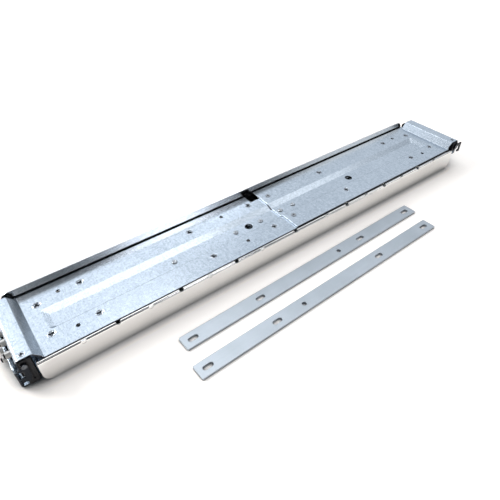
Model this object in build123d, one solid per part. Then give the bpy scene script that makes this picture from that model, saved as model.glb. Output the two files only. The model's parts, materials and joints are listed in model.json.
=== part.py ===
from build123d import *
import os

# A pair of telescoping rack rails, nested face to face, with two loose slotted bars beside them.
# All sizes are in millimetres. A rail is drawn in its own frame: X runs along it from the front end
# of its web, Y across it from the shelf side, and Z outwards from the rear plate's outer face.

# Sheet metal
SHEET = 1.5
BEND_RADIUS = 1.2
PLATE_GAP = 0.2

# The web, which is shared by a front plate and a rear plate
WEB_LENGTH = 581.0
WEB_WIDTH = 86.0
RAIL_HEIGHT = 30.2

# The tray pressed into each plate, where the two plates nest
TRAY_DEPTH = 3.0
TRAY_NEAR_EDGE = 27.0
TRAY_NEAR_RUN = 3.0
TRAY_FLOOR_WIDTH = 18.0
TRAY_FAR_RUN = 8.0
TRAY_CLOSED_END = 14.0
TRAY_END_RUN = 6.0
TRAY_CORNER = 4.0

# The raised end that carries the post flange
JOGGLE_RISE = 8.0
JOGGLE_RUN = 8.0
FLAT_LENGTH = 14.0
FLAT_INSET_NEAR = 1.0
FLAT_INSET_FAR = 3.0
FLANGE_DEPTH = 24.0
FLANGE_CORNER = 4.0

# The front plate's tongue, which runs under the rear plate
SHOULDER_LENGTH = 13.0
SHOULDER_DEPTH = 13.0
TONGUE_LENGTH = 262.0
TONGUE_END_GAP = 23.0
TONGUE_LAP = 2.0
TONGUE_MARGIN = 2.5
SLOT_CLEARANCE = 0.5
SLOT_END_MARGIN = 14.4
OVERRUN = 20.0

# The shelf that carries the server
SHELF_GAP = 1.2
SHELF_FLANGE_WIDTH = 26.0
SHELF_FLANGE_NARROW = 12.0
SHELF_OVERHANG = 8.0
SHELF_CORNER = 9.0
DIMPLE_PITCH = 34.4
FIRST_DIMPLE = 49.8
DIMPLE_DROP = 5.0
DIMPLE_RADIUS = 2.2
DIMPLE_HEIGHT = 0.8
DIMPLE_COUNT = 8
SHELF_NOTCH_RADIUS = 2.3
SHELF_NOTCH_DROP = 3.6

# Countersunk screws and their nuts
SCREW_HEAD_RADIUS = 4.25
SCREW_HEAD_HEIGHT = 1.1
SCREW_RADIUS = 2.0
NUT_RADIUS = 4.0
NUT_HEIGHT = 1.5
SCREW_CLEARANCE = 0.05
NEAR_ROW = 18.5
FAR_ROW = 69.5
END_SCREW = 13.5
END_SCREW_INSET = 21.3
OUTER_SCREW = 59.0
FRONT_SCREWS_BACK = (104.0, 19.5)
REAR_INNER_SCREW = 187.5
SMALL_HOLE_RADIUS = 2.1
SMALL_HOLE_ROWS = (16.2, 70.6)
OUTER_SMALL_HOLE = 37.0
FRONT_SMALL_HOLE_BACK = 59.0

# Rivets and large holes in the tray floor
FLOOR_RIVETS_BACK = (141.5, 60.0, 24.0)
RIVET_RADIUS = 1.6
RIVET_HEAD_RADIUS = 3.2
RIVET_HEAD_HEIGHT = 1.3
RIVET_FOOT_RADIUS = 2.6
FRONT_LARGE_HOLE_BACK = 41.4
REAR_LARGE_HOLE = 162.2
LARGE_HOLE_RADIUS = 4.8
BACKING_WIDTH = 14.0
BACKING_MARGIN = 7.0

# The keeper and guides that hold the sliding plates together
KEEPER_RIVET_OFFSET = 6.5
KEEPER_RIVET_PITCH = 20.0
KEEPER_WIDTH = 14.0
KEEPER_MARGIN = 5.0
SPACER_RADIUS = 2.6
GUIDE_OFFSET = 4.5
GUIDE_LENGTH = 13.0
GUIDE_WIDTH = 10.0
GUIDE_LIP = 2.5
GUIDE_LIP_THICKNESS = 1.5
GUIDE_CLEARANCE = 0.3
EYELET_RADIUS = 2.0
EYELET_BORE = 1.3
EYELET_HEAD_RADIUS = 3.2
EYELET_HEAD_HEIGHT = 0.4

# The studs that drop into the holes of a rack post: a dark pin in a bright sleeve
STUD_RADIUS = 2.4
STUD_LENGTH = 6.5
STUD_CHAMFER = 0.6
STUD_NECK_RADIUS = 2.0
STUD_TAIL_RADIUS = 4.4
STUD_TAIL_HEIGHT = 1.0
STUD_DROP = 9.0
FIRST_STUD = 21.0
STUD_PITCHES = (15.875, 12.7)
COLLAR_RADIUS = 3.4
COLLAR_HEIGHT = 5.0
COLLAR_CHAMFER = 0.4
POST_HOLE_RADIUS = 2.6
POST_HOLE_PITCH = 31.75
POST_HOLE_DROP = 20.0

# The latch at each end: a long block with a claw at the front, and a short one with a hook at the rear
BLOCK_NEAR_FACE = -1.0
BLOCK_WIDTH = 14.0
BLOCK_LENGTH = 10.8
BLOCK_FLANGE_GAP = 0.2
BLOCK_CLEARANCE = 0.3
BLOCK_CORNER = 1.0
REAR_BLOCK_DEPTH = 12.0
APRON_THICKNESS = 1.2
APRON_DROP = 5.2
APRON_CORNER = 2.0
GROOVE_WIDTH = 1.6
GROOVE_DEPTH = 0.9
GROOVE_INSET = 3.6
LEVER_THICKNESS = 1.5
LEVER_GAP = 0.2
LEVER_CORNER = 0.8
PIVOT_RADIUS = 1.5
PIVOT_CLEARANCE = 0.05
PIVOT_GRIP = 4.4
PIVOT_HEAD_RADIUS = 2.4
PIVOT_HEAD_HEIGHT = 0.9
CLAW_PIVOT = (5.1, 6.2)
CLAW_HALF_WIDTH = 2.4
CLAW_UPPER_TOOTH = (6.4, -2.2, -4.8)
CLAW_LOWER_TOOTH = (7.0, -13.8, -18.6)
HOOK_PIVOT = (7.2, 7.2)
HOOK_REACH = 12.2
HOOK_TOP = 3.6
HOOK_ARM = 4.4
HOOK_THICKNESS = 3.0
HOOK_DEPTH = 10.4
HOOK_RETURN = 5.6
HOOK_TAIL = 3.2
SPRING_WIRE = 0.3
SPRING_RADIUS = 2.1
SPRING_PITCH = 0.8
SPRING_HEIGHT = 1.6
SPRING_POCKET = 2.75
BLOCK_SCREW_RADIUS = 1.5
BLOCK_SCREW_HEAD_RADIUS = 2.8
BLOCK_SCREW_DEPTH = 6.0

# The nest: the lower rail is the mirror image of the upper one, turned over and end for end
NEST_SHIFT = -5.0
NEST_SIDE = 0.85

# The loose bars
BAR_LENGTH = 348.4
BAR_WIDTH = 17.3
BAR_THICKNESS = 2.3
BAR_CORNER = 0.8
BAR_SLOT_LENGTH = 11.5
BAR_SLOT_WIDTH = 5.2
BAR_OUTER_SLOT = 11.7
BAR_INNER_SLOT = 96.3
BAR_HOLE_RADIUS = 2.6
BAR_HOLE_OFFSET = 40.8
BARS = (("near_bar", 105.7, -87.8, 1.37, True), ("far_bar", 111.6, -52.0, 1.16, False))

# Places that follow from the sizes above
FRONT_TOP = -(SHEET + PLATE_GAP)
FRONT_BOTTOM = FRONT_TOP - SHEET
FLAT_TOP = JOGGLE_RISE
FLAT_UNDERSIDE = FLAT_TOP - SHEET
END_FACE = -(JOGGLE_RUN + FLAT_LENGTH)
TRAY_FAR_EDGE = TRAY_NEAR_EDGE + TRAY_NEAR_RUN + TRAY_FLOOR_WIDTH + TRAY_FAR_RUN
FLOOR_MIDDLE = TRAY_NEAR_EDGE + TRAY_NEAR_RUN + TRAY_FLOOR_WIDTH / 2
REAR_PLATE_START = WEB_LENGTH - TONGUE_END_GAP - TONGUE_LENGTH - TONGUE_LAP
TONGUE_START = REAR_PLATE_START + TONGUE_LAP
TONGUE_NEAR_EDGE = TRAY_NEAR_EDGE - TONGUE_MARGIN
TONGUE_FAR_EDGE = TRAY_FAR_EDGE + 3 * TONGUE_MARGIN
TONGUE_END = TONGUE_START + TONGUE_LENGTH
SHELF_TOP = FRONT_BOTTOM
SHELF_OUTER_FACE = -(SHELF_GAP + SHEET)
FRONT_SCREWS = (OUTER_SCREW, *(REAR_PLATE_START - back for back in FRONT_SCREWS_BACK))
REAR_SCREWS = (OUTER_SCREW, REAR_INNER_SCREW)
FRONT_SMALL_HOLES = (OUTER_SMALL_HOLE, REAR_PLATE_START - FRONT_SMALL_HOLE_BACK)
REAR_SMALL_HOLES = (OUTER_SMALL_HOLE,)
FLOOR_RIVETS = [REAR_PLATE_START - back for back in FLOOR_RIVETS_BACK]
FRONT_LARGE_HOLE = REAR_PLATE_START - FRONT_LARGE_HOLE_BACK
KEEPER_RIVETS = (REAR_PLATE_START + KEEPER_RIVET_OFFSET,
                 REAR_PLATE_START + KEEPER_RIVET_OFFSET + KEEPER_RIVET_PITCH)
KEEPER_TOP = FRONT_BOTTOM - TRAY_DEPTH - PLATE_GAP
SLOT_REACH = SPACER_RADIUS + SLOT_CLEARANCE
TRAVEL = TONGUE_END - SLOT_END_MARGIN - SLOT_REACH - KEEPER_RIVETS[1]
STUD_ROWS = (FIRST_STUD, FIRST_STUD + STUD_PITCHES[0], FIRST_STUD + sum(STUD_PITCHES))
STUD_LEVEL = FLAT_TOP - STUD_DROP
LEVER_FACE = BLOCK_NEAR_FACE - LEVER_GAP
BLOCK_END = END_FACE + SHEET + BLOCK_FLANGE_GAP
FRONT_BLOCK_DEPTH = RAIL_HEIGHT + FLAT_UNDERSIDE - FLAT_TOP - SHEET - BLOCK_CLEARANCE


def block(x_range, y_range, z_range):
    """A rectangular solid between two values on each axis."""
    sizes = [high - low for low, high in (x_range, y_range, z_range)]
    corner = Pos(x_range[0], y_range[0], z_range[0])
    return corner * Box(*sizes, align=(Align.MIN, Align.MIN, Align.MIN))


def upright(radius, x, y, low, high):
    """A cylinder along Z."""
    return Pos(x, y, low) * Cylinder(radius, high - low, align=(Align.CENTER, Align.CENTER, Align.MIN))


def along_x(radius, low, high, y, z):
    """A cylinder along X."""
    turned = Rot(0, 90, 0) * Cylinder(radius, high - low, align=(Align.CENTER, Align.CENTER, Align.MIN))
    return Pos(low, y, z) * turned


def along_y(radius, x, low, high, z):
    """A cylinder along Y."""
    turned = Rot(-90, 0, 0) * Cylinder(radius, high - low, align=(Align.CENTER, Align.CENTER, Align.MIN))
    return Pos(x, low, z) * turned


def bent_sheet(points, thickness, radius, y_range):
    """A strip of sheet that follows a path in the XZ plane, with the same inside radius at each bend."""
    path = FilletPolyline(*points, radius=radius + thickness / 2)
    section = Plane.XZ * trace(path, line_width=thickness)
    strip = extrude(section, amount=y_range[0] - y_range[1])
    return Pos(0, y_range[0], 0) * strip


def far_end(shape):
    """The same shape at the other end of the web."""
    return Pos(WEB_LENGTH, 0, 0) * shape.mirror(Plane.YZ)


def group(shapes):
    """Several separate solids as one sub-part."""
    return Compound([solid for shape in shapes for solid in shape.solids()])


def tray_form(top, reach):
    """The tray as a solid: a frustum with a sloped closed end, open past the plate's inner end."""
    long_top = reach + OVERRUN - TRAY_CLOSED_END
    wide_top = TRAY_FAR_EDGE - TRAY_NEAR_EDGE
    rim = Pos(TRAY_CLOSED_END + long_top / 2, TRAY_NEAR_EDGE + wide_top / 2, top)
    floor = Pos(TRAY_CLOSED_END + TRAY_END_RUN + long_top / 2, FLOOR_MIDDLE, top - TRAY_DEPTH)
    return loft([rim * RectangleRounded(long_top, wide_top, TRAY_CORNER),
                 floor * RectangleRounded(long_top, TRAY_FLOOR_WIDTH, TRAY_CORNER / 2)])


def plate(reach, top):
    """A web plate from its raised end at X = 0 to its inner end, with its tray and post flange."""
    middle = top - SHEET / 2
    raised = FLAT_TOP - SHEET / 2
    flange = END_FACE + SHEET / 2
    path = [(reach, middle), (0, middle), (-JOGGLE_RUN, raised), (flange, raised),
            (flange, FLAT_TOP - FLANGE_DEPTH)]
    blank = bent_sheet(path, SHEET, BEND_RADIUS, (0, WEB_WIDTH))
    beyond = (END_FACE - 1, -1)
    height = (FLAT_TOP - FLANGE_DEPTH - 1, FLAT_TOP + 1)
    blank -= block(beyond, (-1, FLAT_INSET_NEAR), height)
    blank -= block(beyond, (WEB_WIDTH - FLAT_INSET_FAR, WEB_WIDTH + 1), height)
    lower_corners = blank.edges().filter_by(Axis.X).group_by(Axis.Z)[0]
    blank = fillet(lower_corners, FLANGE_CORNER)
    pressed = tray_form(top - SHEET, reach) & block((0, reach), (0, WEB_WIDTH), (-OVERRUN, FLAT_TOP))
    blank = blank + pressed - tray_form(top, reach)
    for y in STUD_ROWS:
        blank -= along_x(STUD_NECK_RADIUS, END_FACE - 1, END_FACE + SHEET + 1, y, STUD_LEVEL)
    for y in post_hole_rows():
        blank -= along_x(POST_HOLE_RADIUS, END_FACE - 1, END_FACE + SHEET + 1, y, FLAT_TOP - POST_HOLE_DROP)
    x, y = block_screw_place()
    blank -= upright(BLOCK_SCREW_RADIUS, x, y, FLAT_UNDERSIDE - 1, FLAT_TOP)
    return blank - block_screw_head()


def post_hole_rows():
    """The two holes for rack screws, centred on the flange."""
    middle = (FLAT_INSET_NEAR + WEB_WIDTH - FLAT_INSET_FAR) / 2
    return (middle - POST_HOLE_PITCH / 2, middle + POST_HOLE_PITCH / 2)


def screw_places(offsets):
    """Centres of a plate's countersunk screws, measured from its own end of the web."""
    places = [(END_SCREW, END_SCREW_INSET), (END_SCREW, WEB_WIDTH - END_SCREW_INSET)]
    places += [(x, y) for x in offsets for y in (NEAR_ROW, FAR_ROW)]
    return places


def drill_plate(shape, top, screws, small_holes):
    """Countersinks for the screws, and the small plain holes."""
    for x, y in screw_places(screws):
        shape -= screw_head(x, y, top)
        shape -= upright(SCREW_RADIUS + SCREW_CLEARANCE, x, y, top - SHEET - 1, top)
    for x in small_holes:
        for y in SMALL_HOLE_ROWS:
            shape -= upright(SMALL_HOLE_RADIUS, x, y, top - SHEET - 1, top + 1)
    return shape


def screw_head(x, y, top):
    """A countersunk head, flush with the face at the height top."""
    cone = Cone(SCREW_RADIUS, SCREW_HEAD_RADIUS, SCREW_HEAD_HEIGHT,
                align=(Align.CENTER, Align.CENTER, Align.MIN))
    return Pos(x, y, top - SCREW_HEAD_HEIGHT) * cone


def clamped_thickness(y, over_shelf):
    """What a screw goes through before its nut: the plate, and the shelf's flange on the near side."""
    near = over_shelf and y < SHELF_FLANGE_WIDTH
    return 2 * SHEET if near else SHEET


def screws_and_nuts(top, offsets, over_shelf):
    """The screws and hexagon nuts of one plate, as two groups."""
    screws = []
    nuts = []
    for x, y in screw_places(offsets):
        face = top - clamped_thickness(y, over_shelf)
        shank = upright(SCREW_RADIUS, x, y, face - NUT_HEIGHT, top - SCREW_HEAD_HEIGHT / 2)
        screws.append(screw_head(x, y, top) + shank)
        hexagon = RegularPolygon(NUT_RADIUS, 6) - Circle(SCREW_RADIUS + SCREW_CLEARANCE)
        nuts.append(Pos(x, y, face) * extrude(hexagon, amount=-NUT_HEIGHT))
    return group(screws), group(nuts)


def front_plate():
    """The lower of the two nested plates, with the slotted tongue that runs under the rear plate."""
    shape = plate(TONGUE_END, FRONT_TOP)
    deep = (FRONT_BOTTOM - TRAY_DEPTH - 1, FRONT_TOP + 1)
    shape -= block((TONGUE_START, TONGUE_END + 1), (-1, TONGUE_NEAR_EDGE), deep)
    shape -= block((TONGUE_START, TONGUE_END + 1), (TONGUE_FAR_EDGE, WEB_WIDTH + 1), deep)
    shape -= block((REAR_PLATE_START - SHOULDER_LENGTH, TONGUE_START),
                   (WEB_WIDTH - SHOULDER_DEPTH, WEB_WIDTH + 1), deep)
    shape = drill_plate(shape, FRONT_TOP, FRONT_SCREWS, FRONT_SMALL_HOLES)
    for x in FLOOR_RIVETS:
        shape -= upright(RIVET_RADIUS, x, FLOOR_MIDDLE, *deep)
    shape -= upright(LARGE_HOLE_RADIUS, FRONT_LARGE_HOLE, FLOOR_MIDDLE, *deep)
    slot_start = KEEPER_RIVETS[0] - SLOT_REACH
    slot_length = KEEPER_RIVETS[1] + TRAVEL + SLOT_REACH - slot_start
    slot = extrude(SlotOverall(slot_length, 2 * SPACER_RADIUS + 2 * SCREW_CLEARANCE),
                   amount=deep[1] - deep[0])
    return shape - Pos(slot_start + slot_length / 2, FLOOR_MIDDLE, deep[0]) * slot


def rear_plate():
    """The upper of the two nested plates, which slides out past the end of the front plate."""
    shape = plate(WEB_LENGTH - REAR_PLATE_START, 0)
    shape = far_end(drill_plate(shape, 0, REAR_SCREWS, REAR_SMALL_HOLES))
    deep = (-SHEET - TRAY_DEPTH - 1, 1)
    for x in KEEPER_RIVETS:
        shape -= upright(RIVET_RADIUS, x, FLOOR_MIDDLE, *deep)
    shape -= upright(LARGE_HOLE_RADIUS, WEB_LENGTH - REAR_LARGE_HOLE, FLOOR_MIDDLE, *deep)
    for y in guide_rows():
        shape -= upright(EYELET_RADIUS, guide_middle(), y, *deep)
    return shape


def shelf():
    """The polished angle: a flange under the front plate and a wall along its near side."""
    wall = SHELF_OUTER_FACE + SHEET / 2
    top = SHELF_TOP - SHEET / 2
    path = FilletPolyline((SHELF_FLANGE_WIDTH, top), (wall, top), (wall, -RAIL_HEIGHT),
                          radius=BEND_RADIUS + SHEET / 2)
    section = Plane.YZ * trace(path, line_width=SHEET)
    length = WEB_LENGTH + 2 * SHELF_OVERHANG
    angle = Pos(-SHELF_OVERHANG, 0, 0) * extrude(section, amount=length)
    height = (-RAIL_HEIGHT - 1, SHELF_TOP + 1)
    far = (0, SHELF_FLANGE_WIDTH + 1)
    angle -= block((-SHELF_OVERHANG - 1, 0), far, height)
    angle -= block((WEB_LENGTH, WEB_LENGTH + SHELF_OVERHANG + 1), far, height)
    angle -= block((TONGUE_START, WEB_LENGTH + 1), (SHELF_FLANGE_NARROW, SHELF_FLANGE_WIDTH + 1), height)
    angle = fillet(angle.edges().filter_by(Axis.Y).group_by(Axis.Z)[0], SHELF_CORNER)
    for x, y in screw_places(FRONT_SCREWS):
        if y < SHELF_FLANGE_WIDTH:
            angle -= upright(SCREW_RADIUS + SCREW_CLEARANCE, x, y, SHELF_TOP - SHEET - 1, SHELF_TOP + 1)
    for x in FRONT_SMALL_HOLES:
        angle -= upright(SMALL_HOLE_RADIUS, x, SMALL_HOLE_ROWS[0], SHELF_TOP - SHEET - 1, SHELF_TOP + 1)
    level = -DIMPLE_DROP
    cap_radius = (DIMPLE_RADIUS ** 2 + DIMPLE_HEIGHT ** 2) / (2 * DIMPLE_HEIGHT)
    for x in dimple_places():
        ball = Pos(x, SHELF_OUTER_FACE + cap_radius - DIMPLE_HEIGHT, level) * Sphere(cap_radius)
        angle += ball & block((x - cap_radius, x + cap_radius), (SHELF_OUTER_FACE - 1, -SHELF_GAP),
                              (level - cap_radius, SHELF_TOP))
    for x in notch_places():
        angle -= along_y(SHELF_NOTCH_RADIUS, x, SHELF_OUTER_FACE - 1, BEND_RADIUS, -SHELF_NOTCH_DROP)
    return angle


def dimple_places():
    """The darts pressed into the bend, in two rows that start either side of the middle."""
    middle = WEB_LENGTH / 2
    half = [FIRST_DIMPLE + 2 * DIMPLE_PITCH * i for i in range(DIMPLE_COUNT // 2)]
    return [middle - x for x in half] + [middle + x for x in half]


def notch_places():
    """The punched notches between the darts, and one in the middle."""
    middle = WEB_LENGTH / 2
    half = [FIRST_DIMPLE + DIMPLE_PITCH + 2 * DIMPLE_PITCH * i for i in range(DIMPLE_COUNT // 2 - 1)]
    return [middle] + [middle - x for x in half] + [middle + x for x in half]


def rivet(x, y, top, tail):
    """A domed rivet: its head on the face at the height top, its shank down to tail and a flat foot."""
    cap_radius = (RIVET_HEAD_RADIUS ** 2 + RIVET_HEAD_HEIGHT ** 2) / (2 * RIVET_HEAD_HEIGHT)
    dome = Pos(x, y, top + RIVET_HEAD_HEIGHT - cap_radius) * Sphere(cap_radius)
    reach = RIVET_HEAD_RADIUS + 1
    dome = dome & block((x - reach, x + reach), (y - reach, y + reach), (top, top + RIVET_HEAD_HEIGHT + 1))
    shank = upright(RIVET_RADIUS, x, y, tail, top)
    foot = upright(RIVET_FOOT_RADIUS, x, y, tail - RIVET_HEAD_HEIGHT / 2, tail)
    return dome + shank + foot


def backing_strip():
    """The flat strip under the front tray, held by the floor rivets."""
    top = FRONT_BOTTOM - TRAY_DEPTH
    x_range = (FLOOR_RIVETS[0] - BACKING_MARGIN, FLOOR_RIVETS[-1] + BACKING_MARGIN)
    y_range = (FLOOR_MIDDLE - BACKING_WIDTH / 2, FLOOR_MIDDLE + BACKING_WIDTH / 2)
    strip = block(x_range, y_range, (top - SHEET, top))
    for x in FLOOR_RIVETS:
        strip -= upright(RIVET_RADIUS, x, FLOOR_MIDDLE, top - SHEET - 1, top + 1)
    return strip - upright(LARGE_HOLE_RADIUS, FRONT_LARGE_HOLE, FLOOR_MIDDLE, top - SHEET - 1, top + 1)


def keeper():
    """The strip under the tongue that keeps the two plates together as they slide."""
    x_range = (KEEPER_RIVETS[0] - KEEPER_MARGIN, KEEPER_RIVETS[1] + KEEPER_MARGIN)
    y_range = (FLOOR_MIDDLE - KEEPER_WIDTH / 2, FLOOR_MIDDLE + KEEPER_WIDTH / 2)
    strip = block(x_range, y_range, (KEEPER_TOP - SHEET, KEEPER_TOP))
    for x in KEEPER_RIVETS:
        strip -= upright(RIVET_RADIUS, x, FLOOR_MIDDLE, KEEPER_TOP - SHEET - 1, KEEPER_TOP + 1)
    return strip


def keeper_spacers():
    """The bushes that run in the tongue's slot."""
    top = -SHEET - TRAY_DEPTH
    return group([upright(SPACER_RADIUS, x, FLOOR_MIDDLE, KEEPER_TOP, top)
                  - upright(RIVET_RADIUS, x, FLOOR_MIDDLE, KEEPER_TOP - 1, top + 1) for x in KEEPER_RIVETS])


def guide_middle():
    """Where the guides sit along the rail."""
    return REAR_PLATE_START + GUIDE_OFFSET + GUIDE_LENGTH / 2


def guide_rows():
    """The centres of the near and far guides across the rail."""
    reach = GUIDE_CLEARANCE + GUIDE_WIDTH / 2
    return (TONGUE_NEAR_EDGE - reach, TONGUE_FAR_EDGE + reach)


def guides():
    """Two sliding blocks under the rear plate, each with a lip under one edge of the tongue."""
    x_range = (guide_middle() - GUIDE_LENGTH / 2, guide_middle() + GUIDE_LENGTH / 2)
    lip_top = FRONT_BOTTOM - PLATE_GAP
    lip = (lip_top - GUIDE_LIP_THICKNESS, lip_top)
    near, far = guide_rows()
    half = GUIDE_WIDTH / 2
    blocks = [block(x_range, (near - half, near + half), (lip[0], -SHEET))
              + block(x_range, (near, TONGUE_NEAR_EDGE + GUIDE_LIP / 2), lip),
              block(x_range, (far - half, far + half), (lip[0], -SHEET))
              + block(x_range, (TONGUE_FAR_EDGE - GUIDE_LIP, far), lip)]
    return group([shape - upright(EYELET_RADIUS, guide_middle(), y, lip[0] - 1, 0)
                  for shape, y in zip(blocks, guide_rows())])


def guide_eyelets():
    """Hollow rivets through the rear plate and its guides."""
    bottom = FRONT_BOTTOM - PLATE_GAP - GUIDE_LIP_THICKNESS
    eyelets = []
    for y in guide_rows():
        x = guide_middle()
        tube = upright(EYELET_RADIUS, x, y, bottom, 0) + upright(EYELET_HEAD_RADIUS, x, y, 0, EYELET_HEAD_HEIGHT)
        eyelets.append(tube - upright(EYELET_BORE, x, y, bottom - 1, EYELET_HEAD_HEIGHT + 1))
    return group(eyelets)


def studs():
    """The post studs of the front end, riveted through the flange."""
    tip = END_FACE - STUD_LENGTH
    inside = END_FACE + SHEET
    shapes = []
    for y in STUD_ROWS:
        barrel = along_x(STUD_RADIUS, tip, END_FACE, y, STUD_LEVEL)
        barrel = chamfer(barrel.edges().group_by(Axis.X)[0], STUD_CHAMFER)
        neck = along_x(STUD_NECK_RADIUS, END_FACE, inside, y, STUD_LEVEL)
        tail = along_x(STUD_TAIL_RADIUS, inside, inside + STUD_TAIL_HEIGHT, y, STUD_LEVEL)
        shapes.append(barrel + neck + tail)
    return group(shapes)


def collars():
    """The loose sleeves on the studs, which fill the round holes of a post."""
    tip = END_FACE - COLLAR_HEIGHT
    shapes = []
    for y in STUD_ROWS:
        sleeve = along_x(COLLAR_RADIUS, tip, END_FACE, y, STUD_LEVEL)
        sleeve = chamfer(sleeve.edges().group_by(Axis.X)[0], COLLAR_CHAMFER)
        shapes.append(sleeve - along_x(STUD_RADIUS + SCREW_CLEARANCE, tip - 1, END_FACE + 1, y, STUD_LEVEL))
    return group(shapes)


def block_screw_place():
    """The screw that holds a latch block up against the raised flat."""
    return BLOCK_END + BLOCK_LENGTH / 2, BLOCK_NEAR_FACE + BLOCK_WIDTH / 2


def pivot_place(offsets):
    """A pivot's place from its distances behind the end face and below the raised flat."""
    return END_FACE + offsets[0], FLAT_TOP - offsets[1]


def latch_block(depth, pivot):
    """The moulded block under the raised flat, with a groove, and a pocket round the lever's pivot."""
    x_range = (BLOCK_END, BLOCK_END + BLOCK_LENGTH)
    near = BLOCK_NEAR_FACE
    bottom = FLAT_UNDERSIDE - depth
    body = block(x_range, (near, near + BLOCK_WIDTH), (bottom, FLAT_UNDERSIDE))
    under_bend = body.edges().filter_by(Axis.Y).group_by(Axis.Z)[-1].sort_by(Axis.X)[0]
    body = chamfer(under_bend, BEND_RADIUS)
    body = fillet(body.edges().filter_by(Axis.Z), BLOCK_CORNER)
    groove_end = x_range[1] - GROOVE_INSET
    body -= block((groove_end - GROOVE_WIDTH, groove_end), (near - 1, near + GROOVE_DEPTH),
                  (bottom - 1, FLAT_UNDERSIDE + 1))
    x, z = pivot_place(pivot)
    body -= along_y(PIVOT_RADIUS, x, near - 1, near + PIVOT_GRIP, z)
    body -= along_y(SPRING_POCKET, x, near - 1, near + SPRING_HEIGHT + 2 * SPRING_WIRE, z)
    x, y = block_screw_place()
    return body - upright(BLOCK_SCREW_RADIUS, x, y, FLAT_UNDERSIDE - BLOCK_SCREW_DEPTH, FLAT_UNDERSIDE + 1)


def front_block():
    """The long block of the front end, with a thin apron that hangs past the other rail's edge."""
    bottom = FLAT_UNDERSIDE - FRONT_BLOCK_DEPTH
    apron = block((BLOCK_END + BLOCK_CORNER, BLOCK_END + BLOCK_LENGTH - BLOCK_CORNER),
                  (BLOCK_NEAR_FACE, BLOCK_NEAR_FACE + APRON_THICKNESS), (bottom - APRON_DROP, bottom))
    apron = fillet(apron.edges().filter_by(Axis.Y).group_by(Axis.Z)[0], APRON_CORNER)
    return latch_block(FRONT_BLOCK_DEPTH, CLAW_PIVOT) + apron


def block_screw():
    """The countersunk screw that holds the latch block, flush with the raised flat."""
    x, y = block_screw_place()
    shank = upright(BLOCK_SCREW_RADIUS, x, y, FLAT_UNDERSIDE - BLOCK_SCREW_DEPTH, FLAT_TOP)
    return shank + block_screw_head()


def block_screw_head():
    """The cone of the latch block's screw."""
    x, y = block_screw_place()
    cone = Cone(BLOCK_SCREW_RADIUS, BLOCK_SCREW_HEAD_RADIUS, SCREW_HEAD_HEIGHT,
                align=(Align.CENTER, Align.CENTER, Align.MIN))
    return Pos(x, y, FLAT_TOP - SCREW_HEAD_HEIGHT) * cone


def lever(outline, pivot):
    """A flat lever cut from sheet, drawn round its pivot."""
    face = make_face(Polyline(*outline, close=True))
    face = fillet(face.vertices(), LEVER_CORNER) - Circle(PIVOT_RADIUS + PIVOT_CLEARANCE)
    x, z = pivot_place(pivot)
    return Pos(x, LEVER_FACE, z) * extrude(Plane.XZ * face, amount=LEVER_THICKNESS)


def claw():
    """The front lever: an upright bar with two teeth that reach past the flange and grip a post."""
    half = CLAW_HALF_WIDTH
    outline = [(half, half), (-half, half)]
    for reach, top, bottom in (CLAW_UPPER_TOOTH, CLAW_LOWER_TOOTH):
        outline += [(-half, top), (-reach, top), (-reach, bottom)]
        if bottom > CLAW_LOWER_TOOTH[2]:
            outline.append((-half, bottom))
    outline += [(0, CLAW_LOWER_TOOTH[2] - half / 2), (half, CLAW_LOWER_TOOTH[1])]
    return lever(outline, CLAW_PIVOT)


def hook():
    """The rear lever, drawn as at the front end: an arm with a hook that turns back under the flange."""
    tail = HOOK_TAIL
    arm = HOOK_TOP - HOOK_ARM
    inner = HOOK_THICKNESS - HOOK_REACH
    outline = [(tail, -tail), (tail, HOOK_TOP - tail), (0, HOOK_TOP), (-HOOK_REACH, HOOK_TOP),
               (-HOOK_REACH, -HOOK_DEPTH), (HOOK_RETURN - HOOK_REACH, -HOOK_DEPTH),
               (HOOK_RETURN - HOOK_REACH, HOOK_THICKNESS - HOOK_DEPTH), (inner, HOOK_THICKNESS - HOOK_DEPTH),
               (inner, arm), (-tail, arm), (-tail, -tail)]
    return lever(outline, HOOK_PIVOT)


def latch_pivot(pivot):
    """The headed pin that the lever turns on, pressed into the block."""
    x, z = pivot_place(pivot)
    front = LEVER_FACE - LEVER_THICKNESS - PIVOT_CLEARANCE
    pin = along_y(PIVOT_RADIUS, x, front, BLOCK_NEAR_FACE + PIVOT_GRIP, z)
    return pin + along_y(PIVOT_HEAD_RADIUS, x, front - PIVOT_HEAD_HEIGHT, front, z)


def latch_spring(pivot):
    """The coil round the pivot, in the pocket of the block."""
    x, z = pivot_place(pivot)
    path = Helix(SPRING_PITCH, SPRING_HEIGHT, SPRING_RADIUS)
    wire = sweep(Plane(path @ 0, z_dir=path % 0) * Circle(SPRING_WIRE), path=path)
    return Pos(x, BLOCK_NEAR_FACE + SPRING_WIRE, z) * (Rot(-90, 0, 0) * wire)


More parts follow.
